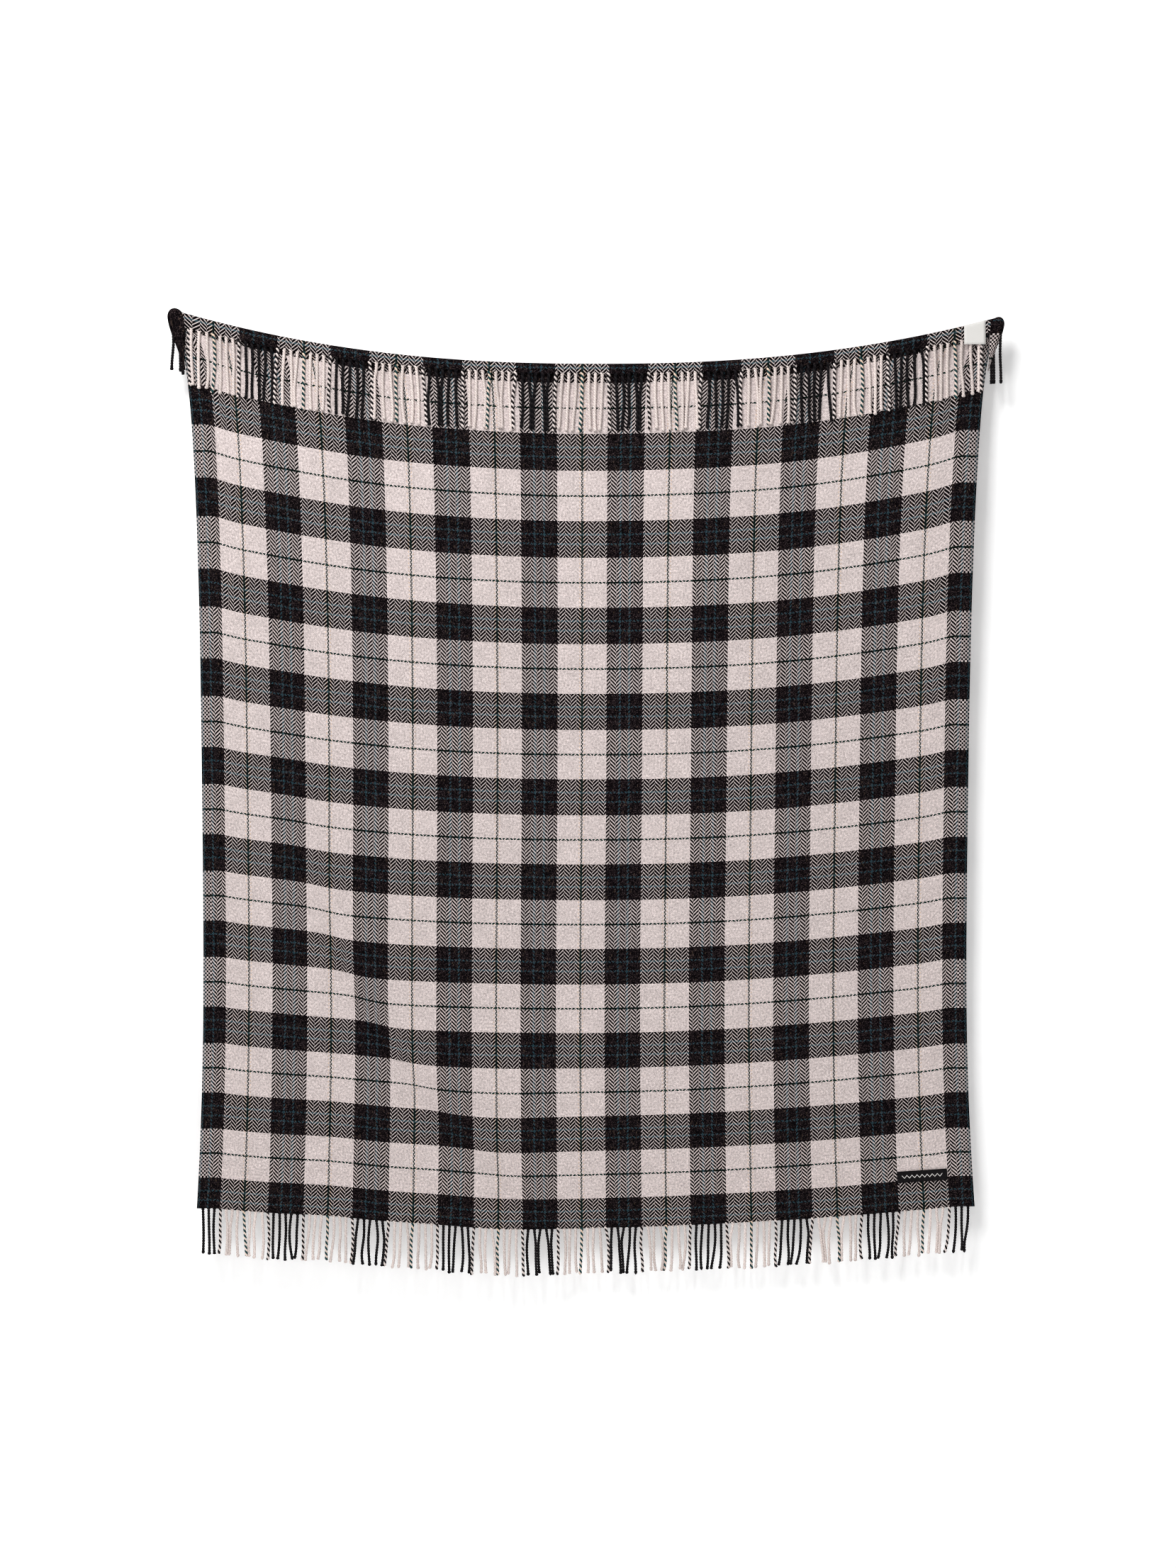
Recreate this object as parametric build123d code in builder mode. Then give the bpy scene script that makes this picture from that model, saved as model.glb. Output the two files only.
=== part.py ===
from build123d import *
import os
from math import cos, exp, pi, radians, sin, tanh

# A fringed plaid camp blanket, hung by its two top corners with its top hem folded over to the front.
# +Z is up and the front faces -Y. The origin is the middle of the top fold, at the height of its crest.
# A flat place on the cloth is given by across, counted from the middle warp thread, and by drop, counted
# down from the fold. The functions below turn it into the place where the thread hangs.

os.makedirs("parts", exist_ok=True)

# The woven cloth, as it lies flat
sett = 150.0  # one repeat of the plaid, the same both ways
cloth_width = 9.15 * sett
cloth_length = 10.3 * sett
cloth_thickness = 2.5

# The fringe: each strand is a bunch of warp ends, twisted
strands_per_sett = 14
outer_strand = 63  # number of the last strand on each side of the middle one
strand_radius = 2.2
bottom_strand_length = 85.0
top_strand_length = 104.0

# The top fold and the flap that it leaves in front
fold_radius = 3.0  # at mid-cloth
flap_middle = 17.0  # how far the flap hangs below the crest at the middle, and at the corners
flap_corner = 26.0
left_corner_x = -740.0
right_corner_x = 754.0
fold_low_x = 30.0  # where the sagging fold is lowest
fold_rise = 99.6  # how far the left corner stands above that
fold_power = 2.3

# The hanging body
side_rise, side_gain = 15.3, 6.1  # how far the sides of a row would stand above its middle, and lower down
side_power, power_loss = 2.92, 1.85
right_skew = 0.18
settle_drop = 1274.0  # the rows settle from the fold's sag towards that over this drop
free_width = 0.9982
wide_pull, wide_fade = 0.062, 273.0  # how the pull between the corners widens the cloth
fold_pull, fold_fade = 0.042, 38.0
left_slack = 0.0175  # the left corner is pulled less
top_stretch, stretch_loss = 1.0435, 0.0704  # how its own weight stretches it, at the top and less below
left_flare, right_flare, flare_reach = 12.0, 15.0, 220.0  # the hem's corners spread a little
side_droop, droop_fade = 4.5, 200.0
lift_x, lift_width, low_lift = -450.0, 80.0, 3.5  # the low rows stand a little high left of the diagonal fold
sag_x, sag_width, low_sag = -140.0, 100.0, 5.5  # and a little low on its right
uneven_drop, uneven_fade = 1250.0, 50.0
step_depth, step_width = 14.0, 45.0  # the diagonal soft fold low on the left
step_start_x, step_run = -490.0, 300.0  # it runs straight down, then curves off to the right
curve_drop, curve_length, curve_power = 800.0, 600.0, 1.8
step_growth = 1.4
ripple_depth, ripple_length, ripple_shift = 3.5, 430.0, 2.4

# The bunched corners, where the blanket is held
bunch_radius = 10.5
bunch_height = 40.0
bunch_top = 5.0  # how far it stands above the fold's crest

# The sewn labels and their stitches
label_width, label_height, label_thickness = 89.0, 20.0, 0.8
label_x, label_z, label_tilt = 606.0, -1444.0, 4.1
care_x, care_width, care_thickness = 698.0, 38.0, 0.4
care_front, care_back = 37.0, 24.0
stitch_radius, stitch_length, stitch_pitch = 0.3, 2.4, 3.6
sewn_gap = 0.3  # the nap keeps a sewn label this far off the cloth

half_width = cloth_width / 2
half_thickness = cloth_thickness / 2
strand_pitch = sett / strands_per_sett
body_length = cloth_length - flap_middle - pi * fold_radius
body_y = fold_radius  # the body hangs behind the fold's middle, and the flap in front of it
flap_y = -fold_radius


def fold_height(x):
    """Height of the fold's mid-cloth crest."""
    return fold_rise * (abs(x - fold_low_x) / (fold_low_x - left_corner_x)) ** fold_power


def hung_x(across, drop):
    """Where a warp thread hangs: pulled wide between the corners, and relaxed lower down."""
    wide = free_width + fold_pull * exp(-drop / fold_fade) + wide_pull * exp(-drop / wide_fade)
    flare = right_flare
    if across < 0:
        wide -= left_slack * (across / half_width) ** 4
        flare = -left_flare
    return across * wide + flare * (across / half_width) ** 2 * exp((drop - body_length) / flare_reach)


def hung_z(across, drop):
    """How high a weft row hangs: it leaves the fold's sag and settles to the hem's."""
    along = drop / cloth_length
    skew = right_skew if across > 0 else -right_skew
    power = side_power - power_loss * along
    low = (side_rise + side_gain * along) * (1 + skew) * (abs(across) / half_width) ** power
    high = fold_height(hung_x(across, 0))
    stretch = top_stretch - stretch_loss / 2 * along
    droop = side_droop * (across / half_width) ** 6 * (1 - exp(-drop / droop_fade))
    x = hung_x(across, drop)
    near_fold = low_lift * exp(-(((x - lift_x) / lift_width) ** 2))
    near_fold -= low_sag * exp(-(((x - sag_x) / sag_width) ** 2))
    near_fold /= 1 + exp((uneven_drop - drop) / uneven_fade)
    return low + (high - low) * exp(-drop / settle_drop) - drop * stretch - droop + near_fold


def body_depth(x, z):
    """Mid-cloth y of the hanging body: a diagonal step low on the left, and ripples that grow downwards."""
    down = max(0.0, -z / cloth_length)
    step_x = step_start_x + step_run * max(0.0, (-z - curve_drop) / curve_length) ** curve_power
    step = step_depth / 2 * tanh((x - step_x) / step_width) * min(1.0, step_growth * down) ** 2
    ripple = ripple_depth * down * cos(2 * pi * x / ripple_length + ripple_shift * down)
    return body_y + step + ripple


def flap_edge(x):
    """Height of the flap's raw edge."""
    return fold_height(x) - flap_middle - (flap_corner - flap_middle) * (x / right_corner_x) ** 2


def bunch_centre(corner_x, inward):
    """Middle of the bunched cloth at a top corner."""
    return Vector(corner_x + inward * bunch_radius, 0, fold_height(corner_x) + bunch_top - bunch_height / 2)


def front_plane(x, z, tilt):
    """The plane just in front of the body at x and z, with its x axis tilted so from the level."""
    along = Vector(label_width, body_depth(x + label_width / 2, z) - body_depth(x - label_width / 2, z), 0)
    lean = body_depth(x, z + label_height / 2) - body_depth(x, z - label_height / 2)
    upward = Vector(0, lean, label_height)
    row = along.normalized() * cos(radians(tilt)) + upward.normalized() * sin(radians(tilt))
    return Plane((x, body_depth(x, z) - half_thickness - sewn_gap, z), x_dir=row, z_dir=along.cross(upward))


def spread(first, last, count):
    """Evenly spaced values from first to last."""
    return [first + (last - first) * i / (count - 1) for i in range(count)]


def save(piece, name):
    """Label a finished piece and write its STEP."""
    piece.part.label = name
    export_step(piece.part, f"parts/{name}.step")


# ---- The cloth: one woven piece, with its fold, its flap and its two bunched corners

outer_radius = fold_radius + half_thickness
inner_radius = fold_radius - half_thickness
section_xs = spread(left_corner_x - 5, right_corner_x + 5, 36)
side_drops = [25, 60, 110, 200, 350, 600, 900, 1200, body_length]
left_bunch = bunch_centre(left_corner_x, 1)
right_bunch = bunch_centre(right_corner_x, -1)

with BuildPart() as corner_bunch:
    Cylinder(bunch_radius, bunch_height)
    fillet(corner_bunch.edges().filter_by(GeomType.CIRCLE), 0.8 * bunch_radius)

with BuildPart() as blanket_cloth:
    # Cuts across the cloth, each of them the flap, the fold and the rippled body, joined up from side to side
    for x in section_xs:
        centre = fold_height(x) - fold_radius
        zs = spread(hung_z(x, body_length), centre, 13)
        with BuildSketch(Plane.YZ.offset(x)):
            with BuildLine():
                back = Spline(*[(body_depth(x, z) + half_thickness, z) for z in zs])
                front = Spline(*[(body_depth(x, z) - half_thickness, z) for z in zs])
                Line(front @ 0, back @ 0)
                outside = ThreePointArc(back @ 1, (0, centre + outer_radius), (-outer_radius, centre))
                inside = ThreePointArc(front @ 1, (0, centre + inner_radius), (-inner_radius, centre))
                edge_z = flap_edge(x)
                Polyline(outside @ 1, (-outer_radius, edge_z), (-inner_radius, edge_z), inside @ 1)
            make_face()
    loft(ruled=True)

    # The two sides hang in from the corners
    with BuildSketch(Plane.XZ):
        with BuildLine():
            sides = []
            for side, corner in ((-1, left_bunch), (1, right_bunch)):
                edge = [(hung_x(side * half_width, d), hung_z(side * half_width, d)) for d in side_drops]
                sides.append(Spline((corner.X, corner.Z), *edge))
            for end, beyond_z in ((0, 2 * fold_rise), (1, -1.1 * cloth_length)):
                left_end, right_end = sides[0] @ end, sides[1] @ end
                Polyline(left_end, (left_end.X, beyond_z), (right_end.X, beyond_z), right_end)
        make_face()
    extrude(amount=100, both=True, mode=Mode.INTERSECT)

    # The corners are bunched where the blanket is held up
    with Locations(left_bunch, right_bunch):
        add(corner_bunch.part)

save(blanket_cloth, "blanket_cloth")


# ---- The fringes: every strand is its own solid, and those of one plaid stripe share a node


def strand_group(number):
    """The group of a strand, which goes by where its warp ends lie in the plaid."""
    place = (number + strands_per_sett // 2) % strands_per_sett - strands_per_sett // 2
    if place == 0:
        return "marled"
    if abs(place) == 4:
        return "two_tone"
    if abs(place) < 4:
        return f"pale_{round(number / strands_per_sett) + 5}"
    return f"dark_{number // strands_per_sett + 6}"


def fringe(name, root, length):
    """Write a node for each group of strands, each strand hanging from its root."""
    groups = {}
    for number in range(-outer_strand, outer_strand + 1):
        groups.setdefault(strand_group(number), []).append(root(number * strand_pitch))
    for group, roots in groups.items():
        with BuildPart() as strands:
            with Locations(*roots):
                Cylinder(strand_radius, length, align=(Align.CENTER, Align.CENTER, Align.MAX))
            tips = strands.faces().filter_by(lambda face: face.normal_at().Z < -0.9)
            fillet(tips.edges(), 0.8 * strand_radius)
        save(strands, f"{name}_{group}")


def bottom_root(across):
    """Where a bottom strand leaves the hem, which is lowest on one side of it."""
    x = hung_x(across, body_length)
    sides = (across - strand_radius, across + strand_radius)
    return (x, body_depth(x, hung_z(across, body_length)), min(hung_z(a, body_length) for a in sides))


def top_root(across):
    """Where a top strand leaves the flap's raw edge, just behind the flap's front face."""
    x = hung_x(across, 0)
    sides = (x - strand_radius, x + strand_radius)
    return (x, flap_y - half_thickness + strand_radius + 0.1, min(flap_edge(side) for side in sides) - 0.2)


fringe("bottom_fringe", bottom_root, bottom_strand_length)
fringe("top_fringe", top_root, top_strand_length)


# ---- The woven label on the body, sewn down at its two ends

label_plane = front_plane(label_x, label_z, label_tilt)

with BuildPart() as woven_label:
    with BuildSketch(label_plane):
        Rectangle(label_width, label_height)
    extrude(amount=label_thickness)

save(woven_label, "woven_label")

with BuildPart() as woven_label_stitches:
    with Locations(label_plane.offset(label_thickness + stitch_radius)):
        with GridLocations(label_width - 4, stitch_pitch, 2, 5):
            Cylinder(stitch_radius, stitch_length, rotation=(90, 0, 0))

save(woven_label_stitches, "woven_label_stitches")


# ---- The care label: a satin strip over the fold, sewn down in front and behind

care_slope = (fold_height(care_x + 1) - fold_height(care_x - 1)) / 2
care_crest = fold_height(care_x)
care_inner = fold_radius + half_thickness + sewn_gap
care_outer = care_inner + care_thickness

with BuildPart() as care_window:
    with Locations((care_x, 0, care_crest - care_front)):
        Box(care_width, 100, 100, align=(Align.CENTER, Align.MAX, Align.MIN))
    with Locations((care_x, 0, care_crest - care_back)):
        Box(care_width, 100, 100, align=(Align.CENTER, Align.MIN, Align.MIN))

with BuildPart() as care_label:
    with BuildSketch(Plane((care_x, 0, care_crest - fold_radius), x_dir=(0, 1, 0), z_dir=(1, 0, care_slope))):
        Circle(care_outer)
        Rectangle(2 * care_outer, 2 * care_front, align=(Align.CENTER, Align.MAX))
        Circle(care_inner, mode=Mode.SUBTRACT)
        Rectangle(2 * care_inner, 2 * care_front, align=(Align.CENTER, Align.MAX), mode=Mode.SUBTRACT)
    extrude(amount=care_width, both=True)
    add(care_window.part, mode=Mode.INTERSECT)

save(care_label, "care_label")

with BuildPart() as care_label_stitches:
    for side, drop in ((-1, care_front), (1, care_back)):
        with Locations((care_x, side * (care_outer + stitch_radius), care_crest - drop + 3)):
            with GridLocations(stitch_pitch, 1, 10, 1):
                Cylinder(stitch_radius, stitch_length, rotation=(0, 90, 0))

save(care_label_stitches, "care_label_stitches")
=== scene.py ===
"""A fringed plaid camp blanket, hung by its two top corners with its top hem folded over to the front.

Metres. +Z is up and the front faces -Y. The origin is the middle of the top fold, at the height of its crest.
A flat place on the cloth is (across, drop): across is counted from the middle warp thread, and drop down from
the fold. The functions hung_x, hung_z and hung_y say where the thread at that place hangs.
"""

import math

import bpy
import numpy as np
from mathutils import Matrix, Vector


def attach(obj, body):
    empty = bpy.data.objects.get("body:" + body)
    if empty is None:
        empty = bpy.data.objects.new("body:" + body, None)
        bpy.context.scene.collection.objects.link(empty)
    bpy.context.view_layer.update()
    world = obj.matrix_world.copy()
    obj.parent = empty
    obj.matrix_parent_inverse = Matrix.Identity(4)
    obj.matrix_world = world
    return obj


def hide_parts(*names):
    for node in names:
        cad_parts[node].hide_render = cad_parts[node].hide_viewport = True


MM = 0.001

# ---- The blanket's dimensions, as in the CAD model

SETT_THREADS = 90  # threads in one repeat of the plaid, the same both ways
SETT = 150 * MM
THREAD = SETT / SETT_THREADS
CLOTH_WIDTH, CLOTH_LENGTH = 9.15 * SETT, 10.3 * SETT
HALF_WIDTH = CLOTH_WIDTH / 2
CLOTH_THICKNESS = 2.5 * MM
STRANDS_PER_SETT = 14
OUTER_STRAND = 63  # number of the last strand on each side of the middle one
STRAND_PITCH = SETT / STRANDS_PER_SETT
BOTTOM_STRAND, TOP_STRAND = 83 * MM, 102 * MM
FOLD_RADIUS = 3 * MM
FLAP_MIDDLE, FLAP_CORNER = 17 * MM, 26 * MM  # how far the flap hangs below the crest
FLAP_EASE = 0.3 * MM
LEFT_CORNER, RIGHT_CORNER = -740 * MM, 754 * MM
BUNCH_RADIUS = 10.5 * MM
CREST_PICK = FLAP_MIDDLE + math.pi / 2 * FOLD_RADIUS + FLAP_EASE  # from the raw edge to the fold's crest
BODY_LENGTH = CLOTH_LENGTH - CREST_PICK

rng = np.random.default_rng(seed=7)


# ---- How the blanket hangs

FOLD_LOW_X = 30 * MM  # where the sagging fold is lowest
FOLD_RISE = 99.6 * MM  # how far the left corner stands above that
FOLD_POWER = 2.3

# Across
MIDDLE_SHIFT = 0.47 * MM
FREE_WIDTH = 0.9982
FOLD_PULL, FOLD_FADE = 0.042, 38 * MM  # how the pull between the corners widens the cloth
WIDE_PULL, WIDE_FADE = 0.062, 273 * MM
LEFT_SLACK, SLACK_POWER = 0.0175, 4  # the left corner is pulled less
LEFT_CROWD, RIGHT_CROWD = 12 * MM, 18 * MM  # the threads crowd outward beside the bunched corners
CROWD_PLACE, CROWD_WIDTH, CROWD_FADE = 650 * MM, 25 * MM, 45 * MM
TUCK, TUCK_START, TUCK_RUN, TUCK_FADE = 16 * MM, 655 * MM, 31 * MM, 30 * MM  # the last ones go in behind them
LEFT_FLARE, RIGHT_FLARE, FLARE_REACH = 12 * MM, 15 * MM, 220 * MM  # the hem's corners spread a little

# Down
SIDE_RISE, SIDE_GAIN = 15.3 * MM, 6.1 * MM  # how far a row's sides would stand above its middle
SIDE_POWER, POWER_LOSS = 2.92, 1.85
RIGHT_SKEW = 0.18
SETTLE_DROP = 1274 * MM  # the rows settle from the fold's sag towards that over this drop
TOP_STRETCH, STRETCH_LOSS = 1.0435, 0.0352  # how its own weight stretches it
SIDE_DROOP, DROOP_POWER, DROOP_FADE = 4.5 * MM, 6, 200 * MM
LIFT_X, LIFT_WIDTH, LOW_LIFT = -450 * MM, 80 * MM, 3.5 * MM  # low rows stand high left of the diagonal fold
SAG_X, SAG_WIDTH, LOW_SAG = -140 * MM, 100 * MM, 5.5 * MM  # and low on its right
UNEVEN_DROP, UNEVEN_RUN = 1130 * MM, 240 * MM

# The diagonal soft fold low on the left
STEP_START_X, STEP_RUN = -490 * MM, 300 * MM  # it runs straight down, then curves off to the right
CURVE_DROP, CURVE_LENGTH, CURVE_POWER = 800 * MM, 600 * MM, 1.8
STEP_WIDTH, STEP_DEPTH, STEP_GROWTH = 38 * MM, 13 * MM, 1.4
STEP_MIDDLE, STEP_HEIGHT = 1150 * MM, 330 * MM  # how far down the jog is strongest, and how soon it fades
THREAD_SHIFT, ROW_SHIFT, ROW_SHIFT_REACH = 3.6 * MM, 7.4 * MM, 300 * MM  # how the plaid's lines jog at it

# The soft ripples, and the curl of the lower right side
RIPPLE_DEPTH, RIPPLE_LENGTH, RIPPLE_SHIFT = 2 * MM, 430 * MM, 2.4
CURL_DEPTH, CURL_X, CURL_RUN = 9 * MM, 540 * MM, 140 * MM
CURL_START, CURL_SOFTNESS = 0.8, 0.2  # as shares of the cloth's length


def smooth(t):
    """0 to 1 with a soft start and end."""
    t = np.clip(t, 0, 1)
    return t * t * (3 - 2 * t)


def bell(distance, width):
    """1 in the middle, fading to 0 over a few widths."""
    return np.exp(-((distance / width) ** 2))


def fade(drop, reach):
    """1 at the fold, fading with the drop."""
    return np.exp(-drop / reach)


def fold_height(x):
    """Height of the fold's crest, which sags between the two held corners."""
    return FOLD_RISE * (np.abs(x - FOLD_LOW_X) / (FOLD_LOW_X - LEFT_CORNER)) ** FOLD_POWER


def flap_depth(x):
    """How far the flap hangs below the crest."""
    return FLAP_MIDDLE + (FLAP_CORNER - FLAP_MIDDLE) * (x / RIGHT_CORNER) ** 2


def plain_x(across, drop):
    """Where a warp thread hangs: pulled wide between the corners and relaxed lower down."""
    left, outward = across < 0, np.abs(across)
    wide = FREE_WIDTH + FOLD_PULL * fade(drop, FOLD_FADE) + WIDE_PULL * fade(drop, WIDE_FADE)
    slack = LEFT_SLACK * left * (across / HALF_WIDTH) ** SLACK_POWER
    crowd = np.where(left, LEFT_CROWD, RIGHT_CROWD) * bell(outward - CROWD_PLACE, CROWD_WIDTH)
    crowd = crowd * fade(drop, CROWD_FADE)
    tuck = TUCK * smooth((outward - TUCK_START) / TUCK_RUN) * fade(drop, TUCK_FADE)
    flare = np.where(left, -LEFT_FLARE, RIGHT_FLARE) * (across / HALF_WIDTH) ** 2
    flare = flare * fade(BODY_LENGTH - drop, FLARE_REACH)
    return MIDDLE_SHIFT + across * (wide - slack) + (crowd - tuck) * np.sign(across) + flare


def plain_z(across, drop):
    """How high a weft row hangs: it leaves the fold's sag and settles to the hem's."""
    along = drop / CLOTH_LENGTH
    side = np.abs(across) / HALF_WIDTH
    low = (SIDE_RISE + SIDE_GAIN * along) * side ** (SIDE_POWER - POWER_LOSS * along)
    low = low * (1 + RIGHT_SKEW * np.sign(across))
    high = fold_height(plain_x(across, 0 * drop))
    stretched = drop * (TOP_STRETCH - STRETCH_LOSS * along)
    droop = SIDE_DROOP * side**DROOP_POWER * (1 - fade(drop, DROOP_FADE))
    x = plain_x(across, drop)
    uneven = LOW_LIFT * bell(x - LIFT_X, LIFT_WIDTH) - LOW_SAG * bell(x - SAG_X, SAG_WIDTH)
    uneven = uneven * smooth((drop - UNEVEN_DROP) / UNEVEN_RUN)
    return low + (high - low) * fade(drop, SETTLE_DROP) - stretched - droop + uneven


def diagonal_fold(x, z):
    """Which side of the diagonal fold a place is on (-1 to 1), how strong the fold is, and how far off."""
    curved = (np.maximum(0, -z - CURVE_DROP) / CURVE_LENGTH) ** CURVE_POWER
    off = x - STEP_START_X - STEP_RUN * curved
    return np.tanh(off / STEP_WIDTH), bell(-z - STEP_MIDDLE, STEP_HEIGHT), np.abs(off)


def hung_x(across, drop):
    """Where a warp thread hangs, with its jog at the diagonal fold."""
    x, z = plain_x(across, drop), plain_z(across, drop)
    side, strength, _ = diagonal_fold(x, z)
    return x - THREAD_SHIFT * side * strength


def hung_z(across, drop):
    """How high a weft row hangs, with its jog at the diagonal fold."""
    x, z = plain_x(across, drop), plain_z(across, drop)
    side, strength, off = diagonal_fold(x, z)
    return z - ROW_SHIFT * side * strength * fade(off, ROW_SHIFT_REACH)


def hung_y(x, z):
    """Depth of the hanging body before the simulation: the diagonal fold, the soft ripples and the curl."""
    down = np.maximum(0, -z / CLOTH_LENGTH)
    side, _, _ = diagonal_fold(x, z)
    step = STEP_DEPTH * side * np.minimum(1, STEP_GROWTH * down) ** 2
    ripple = RIPPLE_DEPTH * down * np.cos(2 * math.pi * x / RIPPLE_LENGTH + RIPPLE_SHIFT * down)
    curl = CURL_DEPTH * smooth((x - CURL_X) / CURL_RUN) * smooth((down - CURL_START) / CURL_SOFTNESS)
    return FOLD_RADIUS + step + ripple - curl


# ---- Meshes


def new_object(name, points, faces):
    """A smooth-shaded mesh object in the scene."""
    mesh = bpy.data.meshes.new(name)
    mesh.from_pydata(np.asarray(points).tolist(), [], np.asarray(faces).tolist())
    mesh.polygons.foreach_set("use_smooth", [True] * len(mesh.polygons))
    obj = bpy.data.objects.new(name, mesh)
    bpy.context.scene.collection.objects.link(obj)
    return obj


def grid_faces(rows, columns, closed=False):
    """The quads of a grid of points stored row by row. A closed grid's last column joins its first."""
    row, column = np.meshgrid(np.arange(rows - 1), np.arange(columns - (not closed)), indexing="ij")
    here, after = row * columns + column, row * columns + (column + 1) % columns
    return np.stack([here, after, after + columns, here + columns], -1).reshape(-1, 4)


def set_uv(obj, uv):
    """Give each vertex its place in the weave."""
    layer = obj.data.uv_layers.new(name="weave")
    corners = np.empty(len(obj.data.loops), dtype=np.int32)
    obj.data.loops.foreach_get("vertex_index", corners)
    layer.data.foreach_set("uv", np.asarray(uv)[corners].astype(np.float32).ravel())


def set_colour(obj, colours):
    """Give each vertex its yarn colour."""
    layer = obj.data.color_attributes.new("yarn", "FLOAT_COLOR", "POINT")
    full = np.hstack([colours, np.ones((len(colours), 1))])
    layer.data.foreach_set("color", full.astype(np.float32).ravel())


def thicken(obj, thickness):
    """Make a sheet solid, with half of its thickness on each side."""
    shell = obj.modifiers.new("thickness", "SOLIDIFY")
    shell.thickness = thickness
    shell.offset = 0.0


def finish_piece(obj, material, slot, *nodes):
    """Give a piece its material, hang it on the root body and hide the CAD nodes that it replaces. slot is
    not used.
    """
    obj.data.materials.append(material)
    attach(obj, "root")
    if nodes:
        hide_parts(*nodes)
    return obj


# ---- Shaders, written as arithmetic


class Field:
    """A number that varies over a surface."""

    def __init__(self, tree, socket):
        self.tree = tree
        self.socket = socket

    def math(self, operation, *others):
        node = self.tree.nodes.new("ShaderNodeMath")
        node.operation = operation
        for port, value in zip(node.inputs, (self, *others)):
            if isinstance(value, Field):
                self.tree.links.new(value.socket, port)
            else:
                port.default_value = value
        return Field(self.tree, node.outputs[0])

    def __add__(self, other):
        return self.math("ADD", other)

    def __sub__(self, other):
        return self.math("SUBTRACT", other)

    def __mul__(self, other):
        return self.math("MULTIPLY", other)

    def __truediv__(self, other):
        return self.math("DIVIDE", other)

    def __mod__(self, other):
        return self.math("FLOORED_MODULO", other)

    def __lt__(self, other):
        return self.math("LESS_THAN", other)

    def __gt__(self, other):
        return self.math("GREATER_THAN", other)

    def __abs__(self):
        return self.math("ABSOLUTE")

    def floor(self):
        return self.math("FLOOR")

    def flip(self):
        """1 less it: the opposite of a mask."""
        return self * -1 + 1


def new_material(name, roughness, specular=0.25, sheen=0.0):
    """A material, its Principled shader and its node tree."""
    material = bpy.data.materials.new(name)
    material.use_nodes = True
    tree = material.node_tree
    shader = tree.nodes["Principled BSDF"]
    shader.inputs["Roughness"].default_value = roughness
    shader.inputs["Specular IOR Level"].default_value = specular
    shader.inputs["Sheen Weight"].default_value = sheen
    shader.inputs["Sheen Roughness"].default_value = 0.6
    return material, shader, tree


def weave_place(tree):
    """The place in the weave, as a vector and as its two numbers."""
    uv = tree.nodes.new("ShaderNodeUVMap")
    uv.uv_map = "weave"
    split = tree.nodes.new("ShaderNodeSeparateXYZ")
    tree.links.new(uv.outputs[0], split.inputs[0])
    return uv.outputs[0], Field(tree, split.outputs[0]), Field(tree, split.outputs[1])


def mix(tree, factor, first, second, blend="MIX"):
    """The colour first where factor is 0 and second where it is 1, or a blend of the two where it is 1."""
    node = tree.nodes.new("ShaderNodeMix")
    node.data_type = "RGBA"
    node.blend_type = blend
    factor_port, first_port, second_port = 0, 6, 7
    for port, value in ((factor_port, factor), (first_port, first), (second_port, second)):
        value = value.socket if isinstance(value, Field) else value
        if isinstance(value, tuple):
            node.inputs[port].default_value = (*value, 1)
        elif isinstance(value, (int, float)):
            node.inputs[port].default_value = value
        else:
            tree.links.new(value, node.inputs[port])
    return node.outputs[2]


def noise(tree, vector, scale, detail=3.0):
    """Soft noise about 0.5."""
    node = tree.nodes.new("ShaderNodeTexNoise")
    node.inputs["Scale"].default_value = scale
    node.inputs["Detail"].default_value = detail
    tree.links.new(vector, node.inputs["Vector"])
    return Field(tree, node.outputs["Fac"])


def join(tree, *fields):
    """A vector or a grey from fields."""
    node = tree.nodes.new("ShaderNodeCombineXYZ")
    for port, field in zip(node.inputs, fields):
        tree.links.new(field.socket, port)
    return node.outputs[0]


def shade(tree, colour, level):
    """The colour, made lighter or darker by a level about 1."""
    return mix(tree, 1.0, colour, join(tree, level, level, level), "MULTIPLY")


def bump(tree, shader, height, distance, strength):
    """Relief from a height of 0 to about 1, over a distance."""
    node = tree.nodes.new("ShaderNodeBump")
    node.inputs["Distance"].default_value = distance
    node.inputs["Strength"].default_value = strength
    tree.links.new(height.socket, node.inputs["Height"])
    tree.links.new(node.outputs[0], shader.inputs["Normal"])


# ---- The plaid weave, in threads

NATURAL = (0.70, 0.607, 0.590)
BLACK, BLACK_NAP = (0.0016, 0.0014, 0.0019), (0.044, 0.031, 0.032)
TEAL, TEAL_NAP = (0.016, 0.041, 0.053), (0.17, 0.32, 0.39)
GREEN = (0.009, 0.024, 0.019)
PEACH = (0.74, 0.55, 0.41)
SPECK = (0.35, 0.24, 0.16)

# The stripes and lines, by how far a thread is from the middle of its pale or black stripe
MIDDLE_THREAD = 44.5  # a stripe's middle lies between two threads
PALE_EDGE = 26
GREEN_EDGE = 1
PEACH_FROM, PEACH_TO = 2, 3
TEAL_FROM, TEAL_TO = 4, 6
FIRST_MIDDLE = 58  # picks from the flap's raw edge to the middle of a pale stripe

TWILL = 4  # two over and two under
CHEVRON = 6  # threads between the herringbone's turns
BREAK = 2  # how far the twill line jumps where it turns
SIDE_BASKET = 10  # the outer threads on each side
WARP_FLOAT, PALE_LOSS, GREEN_GAIN = 2.1, 0.7, 1.3  # how much of a twill line shows its warp thread
WOBBLE_SCALE, WOBBLE = 0.35, 0.15  # how the threads wander

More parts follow.
